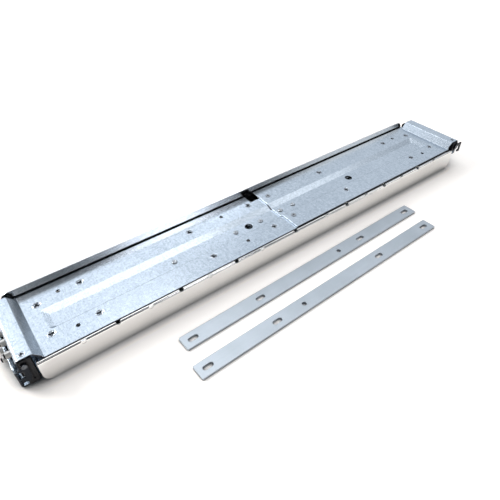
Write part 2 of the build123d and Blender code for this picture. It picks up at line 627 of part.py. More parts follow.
def rail():
    """One rail in its own frame, as a name and a shape for each sub-part."""
    front_screws, front_nuts = screws_and_nuts(FRONT_TOP, FRONT_SCREWS, True)
    rear_screws, rear_nuts = screws_and_nuts(0, REAR_SCREWS, False)
    floor_tail = FRONT_BOTTOM - TRAY_DEPTH - SHEET
    shapes = {
        "front_plate": front_plate(),
        "rear_plate": rear_plate(),
        "shelf": shelf(),
        "front_screws": front_screws,
        "front_nuts": front_nuts,
        "rear_screws": far_end(rear_screws),
        "rear_nuts": far_end(rear_nuts),
        "backing_strip": backing_strip(),
        "floor_rivets": group([rivet(x, FLOOR_MIDDLE, FRONT_TOP - TRAY_DEPTH, floor_tail)
                               for x in FLOOR_RIVETS]),
        "keeper": keeper(),
        "keeper_rivets": group([rivet(x, FLOOR_MIDDLE, -TRAY_DEPTH, KEEPER_TOP - SHEET)
                                for x in KEEPER_RIVETS]),
        "keeper_spacers": keeper_spacers(),
        "guides": guides(),
        "guide_eyelets": guide_eyelets(),
    }
    ends = {
        "front": (CLAW_PIVOT, claw(), front_block()),
        "rear": (HOOK_PIVOT, hook(), latch_block(REAR_BLOCK_DEPTH, HOOK_PIVOT)),
    }
    for end, (pivot, latch_lever, moulding) in ends.items():
        pieces = {
            "studs": studs(),
            "stud_collars": collars(),
            "latch_block": moulding,
            "block_screw": block_screw(),
            "latch_lever": latch_lever,
            "latch_pivot": latch_pivot(pivot),
            "latch_spring": latch_spring(pivot),
        }
        for name, shape in pieces.items():
            shapes[f"{end}_{name}"] = shape if end == "front" else far_end(shape)
    return shapes


def lower_place(shape):
    """The mirror image of a rail shape, turned over and end for end to lie under the upper rail."""
    turned = shape.mirror(Plane.XY).rotate(Axis.Z, 180)
    return Pos(WEB_LENGTH + NEST_SHIFT, WEB_WIDTH + NEST_SIDE, FLAT_TOP) * turned


def flat_bar(turned):
    """A slotted flat bar with its near left corner at the origin."""
    bar = block((0, BAR_LENGTH), (0, BAR_WIDTH), (0, BAR_THICKNESS))
    bar = fillet(bar.edges().filter_by(Axis.Z), BAR_CORNER)
    slot = extrude(SlotOverall(BAR_SLOT_LENGTH, BAR_SLOT_WIDTH), amount=BAR_THICKNESS + 2)
    for offset in (BAR_OUTER_SLOT, BAR_INNER_SLOT, BAR_LENGTH - BAR_INNER_SLOT, BAR_LENGTH - BAR_OUTER_SLOT):
        bar -= Pos(offset, BAR_WIDTH / 2, -1) * slot
    side = -BAR_HOLE_OFFSET if turned else BAR_HOLE_OFFSET
    return bar - upright(BAR_HOLE_RADIUS, BAR_LENGTH / 2 + side, BAR_WIDTH / 2, -1, BAR_THICKNESS + 1)


def build_pair():
    """Every sub-part in its place, with the rails' shelf edges and the bars on the table."""
    shapes = {}
    for name, shape in rail().items():
        shapes["upper_" + name] = Pos(0, 0, RAIL_HEIGHT) * shape
        shapes["lower_" + name] = lower_place(shape)
    for name, x, y, angle, turned in BARS:
        shapes[name] = Pos(x, y, 0) * Rot(0, 0, angle) * flat_bar(turned)
    return shapes


def centre_of(shapes):
    """The middle of the whole pair's box, at the level of the table."""
    boxes = [shape.bounding_box() for shape in shapes.values()]
    x = (min(box.min.X for box in boxes) + max(box.max.X for box in boxes)) / 2
    y = (min(box.min.Y for box in boxes) + max(box.max.Y for box in boxes)) / 2
    return Vector(x, y, 0)


pair = build_pair()
centre = centre_of(pair)
os.makedirs("parts", exist_ok=True)
for name, shape in pair.items():
    export_step(Pos(-centre.X, -centre.Y, 0) * shape, f"parts/{name}.step")
print("sub-parts", len(pair), "centre", round(centre.X, 3), round(centre.Y, 3))
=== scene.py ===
# %% [markdown]
# # A pair of telescoping rack rails
# Two long sheet-metal rails lie nested face to face, and two slotted flat bars lie beside them.
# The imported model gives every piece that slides, turns or fastens. This lesson dresses it: galvanised
# and polished sheet, bright screws with cross recesses, dark studs and black moulded nylon.

# %% Load the frame
import json
import math

import bpy
import numpy as np
from mathutils import Matrix, Vector


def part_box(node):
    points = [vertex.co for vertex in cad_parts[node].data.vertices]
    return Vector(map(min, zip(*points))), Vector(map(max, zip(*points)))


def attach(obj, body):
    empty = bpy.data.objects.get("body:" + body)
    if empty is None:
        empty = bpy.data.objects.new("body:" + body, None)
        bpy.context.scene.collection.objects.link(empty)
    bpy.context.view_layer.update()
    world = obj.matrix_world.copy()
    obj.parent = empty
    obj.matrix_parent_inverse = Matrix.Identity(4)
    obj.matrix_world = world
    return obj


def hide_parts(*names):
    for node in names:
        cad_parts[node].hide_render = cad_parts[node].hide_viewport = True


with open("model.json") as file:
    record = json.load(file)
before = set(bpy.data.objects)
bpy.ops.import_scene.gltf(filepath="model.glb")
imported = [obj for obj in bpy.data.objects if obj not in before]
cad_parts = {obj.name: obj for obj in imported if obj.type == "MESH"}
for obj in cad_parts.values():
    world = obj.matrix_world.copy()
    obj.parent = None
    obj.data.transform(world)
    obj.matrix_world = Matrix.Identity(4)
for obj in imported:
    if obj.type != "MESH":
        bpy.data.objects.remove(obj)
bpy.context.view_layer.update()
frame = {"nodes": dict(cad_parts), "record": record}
nodes = frame["nodes"]
MM = 0.001
RAILS = ("upper", "lower")

# %% [markdown]
# ## The camera
# The picture looks down on the rails from the front left, at about forty degrees. The angle, the
# distance and the focal length come from fitting a pinhole camera to the corners of the web. The
# camera's axes are worked out from those angles, because a look-at constraint can't hold a roll.

# %% Camera
IMAGE_SIZE = 500
FOCAL_PIXELS = 454.4
CAMERA_AZIMUTH = math.radians(-36.40)
CAMERA_ELEVATION = math.radians(41.89)
CAMERA_ROLL = math.radians(-0.78)
CAMERA_DISTANCE = 0.5418
CAMERA_TARGET = Vector((-0.0423, 0.0265, 0.0))
SENSOR = 36.0


def camera_axes(azimuth, elevation, roll):
    """Right, up and back of a camera that circles the target: back is the unit vector at the azimuth
    and elevation, right is level, up is their cross product, and the roll turns right towards up."""
    back = Vector((math.sin(azimuth) * math.cos(elevation), -math.cos(azimuth) * math.cos(elevation),
                   math.sin(elevation)))
    right = Vector((math.cos(azimuth), math.sin(azimuth), 0))
    up = back.cross(right)
    rolled_right = math.cos(roll) * right + math.sin(roll) * up
    rolled_up = math.cos(roll) * up - math.sin(roll) * right
    return rolled_right, rolled_up, back


right, up, back = camera_axes(CAMERA_AZIMUTH, CAMERA_ELEVATION, CAMERA_ROLL)
lens = bpy.data.cameras.new("camera")
lens.sensor_width = SENSOR
lens.lens = FOCAL_PIXELS / IMAGE_SIZE * SENSOR
lens.clip_start = 0.01
camera = bpy.data.objects.new("camera", lens)
bpy.context.scene.collection.objects.link(camera)
turn = Matrix((right, up, back)).transposed().to_4x4()
camera.matrix_world = Matrix.Translation(CAMERA_TARGET + CAMERA_DISTANCE * back) @ turn
bpy.context.scene.camera = camera
print("camera at", tuple(round(v, 4) for v in camera.location), "lens", round(lens.lens, 2))

# %% [markdown]
# ## Small helpers for materials
# A finish is a little graph of nodes. One function adds a node with its settings and its links, and
# another turns a written hex colour into the linear numbers that a shader works with.

# %% Material helpers
def linear(hex_colour):
    """The linear RGBA of an sRGB hex colour: each channel is undone with the sRGB curve."""
    channels = np.array([int(hex_colour[i:i + 2], 16) / 255 for i in (1, 3, 5)])
    low = channels / 12.92
    high = ((channels + 0.055) / 1.055) ** 2.4
    return (*np.where(channels <= 0.04045, low, high), 1.0)


def socket_of(item, name):
    """An input of a node, by number, as in i0, or by name, where an underscore stands for a space."""
    if name[0] == "i" and name[1:].isdigit():
        return item.inputs[int(name[1:])]
    return item.inputs[name.replace("_", " ")]


def add(tree, kind, settings=None, **inputs):
    """Adds a node. Settings are its properties, and inputs are its sockets. An input is either a value
    or an output socket to link from."""
    item = tree.nodes.new(kind)
    for name, value in (settings or {}).items():
        setattr(item, name, value)
    for name, value in inputs.items():
        socket = socket_of(item, name)
        if isinstance(value, bpy.types.NodeSocket):
            tree.links.new(value, socket)
        else:
            socket.default_value = value
    return item


def new_material(name):
    """An empty material, its tree and its Principled shader, already linked to the output."""
    material = bpy.data.materials.new(name)
    material.use_nodes = True
    tree = material.node_tree
    tree.nodes.clear()
    shader = add(tree, "ShaderNodeBsdfPrincipled")
    add(tree, "ShaderNodeOutputMaterial", Surface=shader.outputs[0])
    return material, tree, shader


def link(tree, source, shader, name):
    """Links an output to a named socket of the shader."""
    tree.links.new(source, shader.inputs[name])


def ramp(tree, source, stops):
    """A colour ramp over a factor, with stops of position and hex colour."""
    item = add(tree, "ShaderNodeValToRGB", Fac=source)
    for index, (position, colour) in enumerate(stops):
        band = item.color_ramp.elements
        element = band[index] if index < 2 else band.new(position)
        element.position = position
        element.color = linear(colour)
    return item.outputs["Color"]


def spread(tree, source, low, high, from_low=0.0, from_high=1.0):
    """Moves a factor from one range to another."""
    return add(tree, "ShaderNodeMapRange", Value=source, From_Min=from_low, From_Max=from_high,
               To_Min=low, To_Max=high).outputs["Result"]


def maths(tree, operation, *values):
    """One step of arithmetic on one to three factors, such as ABSOLUTE, ADD or MULTIPLY_ADD."""
    inputs = {f"i{index}": value for index, value in enumerate(values)}
    return add(tree, "ShaderNodeMath", {"operation": operation}, **inputs).outputs[0]


def openness(tree, reach):
    """How open a place is within a reach in metres: 1 on a free face, less in a corner or a recess."""
    return add(tree, "ShaderNodeAmbientOcclusion", {"samples": OPENNESS_SAMPLES},
               Distance=reach).outputs["AO"]


OPENNESS_SAMPLES = 8
WHITE = linear("#FFFFFF")
print("a mid grey of #808080 is", round(float(linear("#808080")[0]), 4), "in linear light")

# %% [markdown]
# ## The floor
# The rails lie on a white sweep that is a little warm, so the soft shadows beside them are beige. The
# camera and the metal's reflections see the open paper whitened, and its shade close to the rails is
# kept. Ambient occlusion tells the two apart: it is low where something stands near. The same occlusion
# also paints the paper's own colour grey close to the rails and bars and in the slots: a painted contact
# shade.

# %% Floor
# Lengths are in metres. A range holds the values where a change begins and where it is complete.
FLOOR_SIZE = 6.0
FLOOR_DROP = 0.0002
# A painted contact shade: the paper's colour is painted grey where ambient occlusion within this reach is
# low.
PAINTED_CONTACT_REACH = 0.018
PAINTED_CONTACT_SHADE = [(0.35, "#74797F"), (0.8, "#FBF4ED")]
FLOOR_GLOW = 0.36
OPEN_REACH = 0.05
OPEN_RANGE = (0.5, 0.9)
FAR_GLOW = 0.4
FAR_RANGE = (0.35, 1.2)
MIRRORED_SHARE = 0.8
floor_mesh = bpy.data.meshes.new("floor")
corners = FLOOR_SIZE / 2 * np.array([(-1, -1, 0), (1, -1, 0), (1, 1, 0), (-1, 1, 0)])
floor_mesh.from_pydata(corners.tolist(), [], [(0, 1, 2, 3)])
floor = bpy.data.objects.new("floor", floor_mesh)
floor.location.z = -FLOOR_DROP
bpy.context.scene.collection.objects.link(floor)

paper = bpy.data.materials.new("white paper sweep")
paper.use_nodes = True
tree = paper.node_tree
tree.nodes.clear()
seen = add(tree, "ShaderNodeLightPath").outputs
# The paper's diffuse colour carries the painted contact shade, grey where something stands near.
matt = add(tree, "ShaderNodeBsdfDiffuse", Color=ramp(tree, openness(tree, PAINTED_CONTACT_REACH), PAINTED_CONTACT_SHADE))
near_glow = spread(tree, openness(tree, OPEN_REACH), 0, FLOOR_GLOW, *OPEN_RANGE)
place = add(tree, "ShaderNodeTexCoord").outputs["Object"]
reach = add(tree, "ShaderNodeVectorMath", {"operation": "LENGTH"}, i0=place).outputs["Value"]
far_glow = spread(tree, reach, 0, FAR_GLOW, *FAR_RANGE)
watched = maths(tree, "MULTIPLY_ADD", seen["Is Glossy Ray"], MIRRORED_SHARE, seen["Is Camera Ray"])
strength = maths(tree, "MULTIPLY", watched, maths(tree, "ADD", near_glow, far_glow))
glow = add(tree, "ShaderNodeEmission", Color=WHITE, Strength=strength)
both = add(tree, "ShaderNodeAddShader", i0=matt.outputs[0], i1=glow.outputs[0])
add(tree, "ShaderNodeOutputMaterial", Surface=both.outputs[0])
floor_mesh.materials.append(paper)
print("floor", FLOOR_SIZE, "m wide, with", len(tree.nodes), "nodes in its paper")

# %% [markdown]
# ## The light
# Sheet metal shows its surroundings. A wide lamp overhead and a broad window behind the rails make the
# plates pale, a hard key lamp behind on the left draws the shadows, and the room on the camera's side
# is dim. That is why the far wall is dark at its left end, bright where one soft lamp beside the camera
# shows in it, and grey at the right.

# %% The room
ROOM_DIM = 0.11
ROOM_BRIGHT = 0.84
ROOM_RISE = 0.30
ROOM_TINT = "#E9F0F8"
# The shares of X and Y in the level direction towards which the room gets brighter.
BRIGHT_TOWARD = (0.5, 0.85)
BRIGHT_RANGE = (-0.35, 0.8)
RISE_RANGE = (0.1, 0.8)
world = bpy.data.worlds.new("studio")
bpy.context.scene.world = world
world.use_nodes = True
tree = world.node_tree
tree.nodes.clear()
seen = add(tree, "ShaderNodeLightPath").outputs
place = add(tree, "ShaderNodeTexCoord").outputs["Generated"]
way = add(tree, "ShaderNodeSeparateXYZ", Vector=place).outputs
across = maths(tree, "MULTIPLY", way["X"], BRIGHT_TOWARD[0])
depth = maths(tree, "MULTIPLY_ADD", way["Y"], BRIGHT_TOWARD[1], across)
behind = spread(tree, depth, ROOM_DIM, ROOM_BRIGHT, *BRIGHT_RANGE)
above = spread(tree, way["Z"], 0, ROOM_RISE, *RISE_RANGE)
level = maths(tree, "MULTIPLY_ADD", behind, above, behind)
room = add(tree, "ShaderNodeBackground", Color=linear(ROOM_TINT), Strength=level)
blank = add(tree, "ShaderNodeBackground", Color=WHITE, Strength=1.0)
mix = add(tree, "ShaderNodeMixShader", i0=seen["Is Camera Ray"], i1=room.outputs[0], i2=blank.outputs[0])
add(tree, "ShaderNodeOutputWorld", Surface=mix.outputs[0])
print("room from", ROOM_DIM, "in front to", ROOM_BRIGHT, "behind")


# %% Lamps
def soft_lamp(name, toward, distance, size, radiance, colour="#FFFFFF", aim=(0, 0, 0), beam=math.pi):
    """A flat lamp in a direction from the origin, turned to its aim. Its power is radiance times area
    times pi, which is what a matt white panel of that brightness gives off. A narrow beam lights only
    what the lamp faces."""
    place = distance * Vector(toward).normalized()
    data = bpy.data.lights.new(name, "AREA")
    data.shape = "RECTANGLE"
    data.size, data.size_y = size
    data.energy = radiance * size[0] * size[1] * math.pi
    data.color = linear(colour)[:3]
    data.spread = beam
    lamp = bpy.data.objects.new(name, data)
    bpy.context.scene.collection.objects.link(lamp)
    lamp.location = place
    lamp.rotation_euler = (place - Vector(aim)).to_track_quat("Z", "Y").to_euler()


DAYLIGHT = "#F2F7FF"
soft_lamp("overhead lamp", (0.0, 0.12, 1.0), 1.3, (1.0, 0.6), 1.6)
soft_lamp("key lamp behind on the left", (-0.7, 0.75, 0.65), 1.4, (0.5, 0.5), 13.0)
soft_lamp("skylight", (0.07, 0.5, 0.86), 1.3, (0.30, 0.22), 3.0)
soft_lamp("panel overhead on the right", (0.6, 0.05, 0.8), 1.3, (0.7, 0.4), 0.8)
soft_lamp("window behind", (-0.12, 0.70, 0.70), 1.4, (0.8, 0.7), 0.58, DAYLIGHT)
soft_lamp("low window", (0.32, 0.77, 0.55), 1.4, (0.42, 0.14), 2.6, DAYLIGHT)
soft_lamp("lamp beside the camera", (0.24, -0.73, 0.64), 1.3, (0.36, 0.4), 0.2, "#F6F7FF",
          aim=(-0.12, 0.0, 0.0), beam=math.radians(40))
soft_lamp("wall in front on the right", (0.75, -0.5, 0.42), 1.4, (0.45, 0.5), 1.0)
soft_lamp("wall in front on the left", (-0.58, -0.62, 0.52), 1.3, (1.0, 0.8), 0.8)
print("lamps", len(bpy.data.lights))

scene = bpy.context.scene
scene.view_settings.view_transform = "Standard"

# %% [markdown]
# ## Galvanised sheet
# The plates are cold-rolled steel with a thin coat of zinc from a hot bath. The zinc freezes in flat
# crystals a few millimetres wide, each with its own slight tilt, so the sheet has a faint spangle. It
# is a pale blue-grey, half dull, and the rolling leaves fine lines along the rail. Voronoi cells give
# the crystals, and stretched noise gives the lines. The sheet is sheared after it is coated, so its cut
# edges are dull bare steel, and its narrow recesses get a painted shade: their colour is darkened with
# ambient occlusion.

# %% Galvanised steel
SPANGLE_MM = 1.8
ROLL_LINE_MM = 0.5
ROLL_LENGTH_MM = 40
WEAVE_MM = (0.9, 9, 0.9)
CLOUD_MM = 60
BASE_TONE = 0.2
SPANGLE_SHARE = 0.30
LINE_SHARE = 0.20
WEAVE_SHARE = 0.60
CLOUD_SHARE = 0.25
TONE_RANGE = (0.45, 1.25)
# Bare edges: |normal| over the facing range is an edge, and |X| past the outer range is a flange.
BARE_STEEL = "#43444A"
BARE_END_SHARE = 0.35
BARE_ROUGHER = 0.25
FACING_RANGE = (0.85, 0.95)
OUTER_END_RANGE = (0.26, 0.27)
RECESS_MM = 1.5
# The painted recess shade: the darkest share, then the openness at which it is that dark and at which
# it is not dark at all.
SHEET_PAINTED_SHADE = (0.1, 0.45, 0.85)
EDGE_SOFTNESS_MM = 0.8
SHEET_RELIEF_MM = 0.02
BEVEL_SAMPLES = 6
ROLL_DETAIL = 3.0
ROLL_BREAK_UP = 0.6


def cells_per_metre(size_mm):
    """The scale of a pattern whose cells are that wide."""
    return 1 / (size_mm * MM)


def noise(tree, place, size_mm, detail):
    """Noise whose patches are that wide."""
    return add(tree, "ShaderNodeTexNoise", Vector=place, Scale=cells_per_metre(size_mm),
               Detail=detail).outputs["Fac"]


def drawn_noise(tree, place, sizes_mm, detail, roughness=0.5):
    """Noise whose patches have a width of their own along X, Y and Z."""
    stretch = add(tree, "ShaderNodeMapping", Vector=place, Scale=[cells_per_metre(size) for size in sizes_mm])
    return add(tree, "ShaderNodeTexNoise", Vector=stretch.outputs[0], Scale=1.0, Detail=detail,
               Roughness=roughness).outputs["Fac"]


def painted_recess_shade(tree, colour, reach_mm, darkest, closed, free):
    """A painted shade: a colour times a share, which climbs from the darkest to 1 as the openness climbs
    from closed to free. So recesses narrower than the reach are painted dark."""
    share = spread(tree, openness(tree, reach_mm * MM), darkest, 1, closed, free)
    return add(tree, "ShaderNodeMix", {"data_type": "RGBA", "blend_type": "MULTIPLY"}, i0=1.0,
               i6=colour, i7=share).outputs[2]


def soft_edges(tree, radius_mm, height, distance_mm):
    """A normal that rounds the sharp edges of cut metal and adds a fine relief on top."""
    rounded = add(tree, "ShaderNodeBevel", {"samples": BEVEL_SAMPLES}, Radius=radius_mm * MM)
    return add(tree, "ShaderNodeBump", Strength=1.0, Distance=distance_mm * MM, Height=height,
               Normal=rounded.outputs[0]).outputs[0]


def rolled_lines(tree, place, along_mm, across_mm):
    """Noise drawn out along the rail, as rolling or brushing leaves it."""
    return drawn_noise(tree, place, (along_mm, across_mm, across_mm), ROLL_DETAIL, ROLL_BREAK_UP)


def cut_edges(tree, place, normal):
    """How bare the sheet is: 1 on its long cut edges, whose normals lie along Y, and a share of that
    on its open ends, which face along X well inside the length."""
    facing = add(tree, "ShaderNodeSeparateXYZ", Vector=normal).outputs
    where = add(tree, "ShaderNodeSeparateXYZ", Vector=place).outputs
    long_edges = spread(tree, maths(tree, "ABSOLUTE", facing["Y"]), 0, 1, *FACING_RANGE)
    ends = spread(tree, maths(tree, "ABSOLUTE", facing["X"]), 0, BARE_END_SHARE, *FACING_RANGE)
    inside = spread(tree, maths(tree, "ABSOLUTE", where["X"]), 1, 0, *OUTER_END_RANGE)
    return maths(tree, "MAXIMUM", long_edges, maths(tree, "MULTIPLY", ends, inside))


def galvanised(name, dark, pale, spangle_mm, roughness):
    """Zinc crystals over rolled lines. The tone is a base plus a share each of the crystals' tilt, the
    rolled lines, a cross weave and wide clouds."""
    material, tree, shader = new_material(name)
    spot = add(tree, "ShaderNodeTexCoord").outputs
    place = spot["Object"]
    crystal = add(tree, "ShaderNodeTexVoronoi", Vector=place, Scale=cells_per_metre(spangle_mm),
                  Randomness=1.0).outputs["Color"]
    tilt = add(tree, "ShaderNodeSeparateColor", Color=crystal).outputs[0]
    cloud = noise(tree, place, CLOUD_MM, 3.0)
    lines = rolled_lines(tree, place, ROLL_LENGTH_MM, ROLL_LINE_MM)
    weave = drawn_noise(tree, place, WEAVE_MM, 2.0)
    tone = BASE_TONE
    for pattern, share in ((tilt, SPANGLE_SHARE), (lines, LINE_SHARE), (weave, WEAVE_SHARE),
                           (cloud, CLOUD_SHARE)):
        tone = maths(tree, "MULTIPLY_ADD", pattern, share, tone)
    coated = ramp(tree, spread(tree, tone, 0, 1, *TONE_RANGE), [(0.0, dark), (1.0, pale)])
    bare = cut_edges(tree, place, spot["Normal"])
    colour = add(tree, "ShaderNodeMix", {"data_type": "RGBA"}, i0=bare, i6=coated,
                 i7=linear(BARE_STEEL)).outputs[2]
    # The base colour carries a painted shade in the sheet's narrow recesses.
    link(tree, painted_recess_shade(tree, colour, RECESS_MM, *SHEET_PAINTED_SHADE), shader, "Base Color")
    link(tree, maths(tree, "MULTIPLY_ADD", bare, BARE_ROUGHER, roughness), shader, "Roughness")
    link(tree, soft_edges(tree, EDGE_SOFTNESS_MM, cloud, SHEET_RELIEF_MM), shader, "Normal")
    shader.inputs["Metallic"].default_value = 1.0
    return material


galvanised_steel = galvanised("hot-dip galvanised steel", "#A9B4BF", "#D6DFE8", SPANGLE_MM, 0.25)
print(galvanised_steel.name, "nodes", len(galvanised_steel.node_tree.nodes))

# %% [markdown]
# ## Polished stainless steel
# The shelf walls are bright cold-rolled stainless, a mirror with a slight haze. Its picture of the
# floor is drawn out along the rail by the faint lines of the polishing belt, so those are the only
# relief it has.

# %% Polished stainless
BELT_LENGTH_MM = 80
BELT_RELIEF_MM = 0.006
HAZE_MM = 35
HAZE_ROUGHER = 0.10
HAZE_BAND = (0.3, 0.8)


def polished(name, colour, hazy, roughness, line_mm):
    """A mirror finish with belt lines along the rail and a cloudy haze."""
    material, tree, shader = new_material(name)
    place = add(tree, "ShaderNodeTexCoord").outputs["Object"]
    lines = rolled_lines(tree, place, BELT_LENGTH_MM, line_mm)
    haze = noise(tree, place, HAZE_MM, 4.0)
    link(tree, maths(tree, "MULTIPLY_ADD", haze, HAZE_ROUGHER, roughness), shader, "Roughness")
    link(tree, ramp(tree, haze, zip(HAZE_BAND, (colour, hazy))), shader, "Base Color")
    link(tree, soft_edges(tree, EDGE_SOFTNESS_MM, lines, BELT_RELIEF_MM), shader, "Normal")
    shader.inputs["Metallic"].default_value = 1.0
    return material


polished_steel = polished("polished stainless steel", "#EDECEA", "#F6F5F3", 0.10, 0.6)
print(polished_steel.name, "nodes", len(polished_steel.node_tree.nodes))

# %% [markdown]
# ## Zinc plate, nickel, black oxide and spring steel
# Small parts are plated or blackened. Bright zinc is a little blue, nickel is warmer and more
# mirror-like, black oxide is an oily near-black, and tempered spring steel is a dark blue-grey. They
# share one recipe: a metal with fine tumbling scratches, and a painted shade in its narrow recesses.

# %% Plated and blackened metal
# The reach of the painted shade in the screws' cross recesses; the next line gives how dark that painted
# shade gets and where it fades.
SCREW_RECESS_MM = 5.0
PLATED_PAINTED_SHADE = (0.01, 0.5, 0.9)
GRAIN_BAND = (0.35, 0.65)
SMOOTHER, ROUGHER = 0.06, 0.08
PLATED_EDGE_MM = 0.25
GRAIN_RELIEF_MM = 0.01


def plated(name, dark, pale, roughness, grain_mm, recess_mm=RECESS_MM):
    """Metal with a fine, even grain, as tumbling leaves it. Narrow recesses, up to a width, get a painted
    shade.
    """
    material, tree, shader = new_material(name)
    place = add(tree, "ShaderNodeTexCoord").outputs["Object"]
    grain = noise(tree, place, grain_mm, 4.0)
    tinted = ramp(tree, grain, zip(GRAIN_BAND, (dark, pale)))
    # The base colour carries a painted shade in narrow recesses, such as the screws' cross recesses.
    link(tree, painted_recess_shade(tree, tinted, recess_mm, *PLATED_PAINTED_SHADE), shader, "Base Color")
    link(tree, spread(tree, grain, roughness - SMOOTHER, roughness + ROUGHER), shader, "Roughness")
    link(tree, soft_edges(tree, PLATED_EDGE_MM, grain, GRAIN_RELIEF_MM), shader, "Normal")
    shader.inputs["Metallic"].default_value = 1.0
    return material


zinc_plate = plated("bright zinc plate", "#A9B0BA", "#D4DAE2", 0.18, 0.8, SCREW_RECESS_MM)
satin_sleeve = plated("satin sleeve", "#A9A8A6", "#C4C3C1", 0.36, 0.8)
worn_pivot = plated("worn pivot head", "#4A4C50", "#6C6F74", 0.34, 0.8)
nickel = plated("nickel-plated rivet", "#9FA4A9", "#BFC4C9", 0.22, 0.8)
black_oxide = plated("black oxide steel", "#17171A", "#2B2B30", 0.34, 0.6)
spring_steel = plated("tempered spring steel", "#1B1D21", "#2E3137", 0.38, 0.6)
metals = (zinc_plate, satin_sleeve, worn_pivot, nickel, black_oxide, spring_steel)
print("plated", [metal.name for metal in metals])

# %% [markdown]
# ## Satin zinc on the loose bars
# The two bars are cut from drawn flat stock and plated after that. Drawing leaves fine lines along the
# bar, and the thin plating is a little cloudy, so the bar is duller than the rails.

# %% Satin bars
BAR_LINE_MM = 0.35
BAR_LENGTH_MM = 25
BAR_CLOUD_MM = 30
BAR_LINE_SHARE = 0.4
BAR_TONE_RANGE = (0.4, 1.0)
BAR_ROUGHNESS = (0.38, 0.5)
BAR_EDGE_MM = 0.6
BAR_RELIEF_MM = 0.003
BAR_METALLIC = 0.95


def brushed_bar(name, dark, pale):
    """Satin zinc on drawn flat bar: fine lines along the bar and soft cloudy patches."""
    material, tree, shader = new_material(name)
    place = add(tree, "ShaderNodeTexCoord").outputs["Object"]
    lines = rolled_lines(tree, place, BAR_LENGTH_MM, BAR_LINE_MM)
    cloud = noise(tree, place, BAR_CLOUD_MM, 3.0)
    tone = spread(tree, maths(tree, "MULTIPLY_ADD", lines, BAR_LINE_SHARE, cloud), 0, 1, *BAR_TONE_RANGE)
    link(tree, ramp(tree, tone, [(0.0, dark), (1.0, pale)]), shader, "Base Color")
    link(tree, spread(tree, cloud, *BAR_ROUGHNESS), shader, "Roughness")
    link(tree, soft_edges(tree, BAR_EDGE_MM, lines, BAR_RELIEF_MM), shader, "Normal")
    shader.inputs["Metallic"].default_value = BAR_METALLIC
    return material


satin_zinc = brushed_bar("satin zinc plate", "#B3BBC1", "#C3CAD1")
print(satin_zinc.name, "nodes", len(satin_zinc.node_tree.nodes))

# %% [markdown]
# ## Black nylon
# The latch blocks and the slide guides are moulded nylon. The mould was spark-eroded, so the face has
# a fine even grain about three tenths of a millimetre across, and the gloss is low.

# %% Nylon
WORN_PATCH_MM = 8
WORN_BAND = (0.35, 0.7)
NYLON_ROUGHNESS = (0.42, 0.58)
NYLON_EDGE_MM = 0.4
SPARK_RELIEF_MM = 0.03
NYLON_SPECULAR = 0.3


def moulded(name, colour, worn, grain_mm):
    """Moulded plastic with a spark-eroded grain."""
    material, tree, shader = new_material(name)
    place = add(tree, "ShaderNodeTexCoord").outputs["Object"]
    grain = noise(tree, place, grain_mm, 2.0)
    cloud = noise(tree, place, WORN_PATCH_MM, 2.0)
    link(tree, ramp(tree, cloud, zip(WORN_BAND, (colour, worn))), shader, "Base Color")
    link(tree, spread(tree, grain, *NYLON_ROUGHNESS), shader, "Roughness")
    link(tree, soft_edges(tree, NYLON_EDGE_MM, grain, SPARK_RELIEF_MM), shader, "Normal")
    shader.inputs["Specular IOR Level"].default_value = NYLON_SPECULAR
    return material


black_nylon = moulded("moulded black nylon", "#0D0D10", "#17171B", 0.3)

print(black_nylon.name, "nodes", len(black_nylon.node_tree.nodes))

# %% [markdown]
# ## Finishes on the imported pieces
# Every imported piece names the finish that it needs, so a table from those names to the materials
# dresses them all. The latch pivots are steel pins whose heads are rubbed by the levers, so they get a
# worn finish of their own.

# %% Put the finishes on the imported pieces
FINISH_OF_SLOT = {
    "galvanised_steel": galvanised_steel,
    "polished_steel": polished_steel,
    "zinc_plated_screw": zinc_plate,
    "bright_rivet": nickel,
    "black_nylon": black_nylon,
    "black_oxide_steel": black_oxide,
    "bright_collar": satin_sleeve,
    "dark_spring_steel": spring_steel,
    "satin_zinc_bar": satin_zinc,
}
slot_of = {entry["node"]: entry["material_slot"] for entry in frame["record"]["subparts"]}
body_of = {node: body for body, members in frame["record"]["behaviour"]["bodies"].items() for node in members}
for name, item in nodes.items():
    finish = worn_pivot if name.endswith("latch_pivot") else FINISH_OF_SLOT[slot_of[name]]
    item.data.materials.clear()
    item.data.materials.append(finish)
print("finished", len(nodes), "packed pieces")

# %% [markdown]
# ## Screws and rivets
# A packed screw has a plain flat head. The real one has a cross recess, a slight dome and a rounded
# rim. The rivets in the tray floor are semi-tubular: a rolled ring round a small hollow. Each is one
# closed surface turned about its axis, drawn once in millimetres and repeated at every place where
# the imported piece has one.

# %% Turned surfaces
STEPS = 64
CLUSTER_MM = 10.0
TIP_MM = 0.05


def profile_angles():
    """The angle of each step round the axis."""
    return np.arange(STEPS) / STEPS * 2 * math.pi


def centres(node):
    """The middle of each separate solid of a node, across the rail, in metres. Solids are told apart
    by distance: all the corners within reach of one corner belong to the same solid."""
    mesh = nodes[node].data
    points = np.empty(3 * len(mesh.vertices))
    mesh.vertices.foreach_get("co", points)
    points = points.reshape(-1, 3)
    found = []
    while len(points):
        near = np.hypot(*(points[:, :2] - points[0, :2]).T) < CLUSTER_MM * MM
        mine = points[near]
        found.append((mine.min(axis=0) + mine.max(axis=0)) / 2)
        points = points[~near]
    return np.array(found)


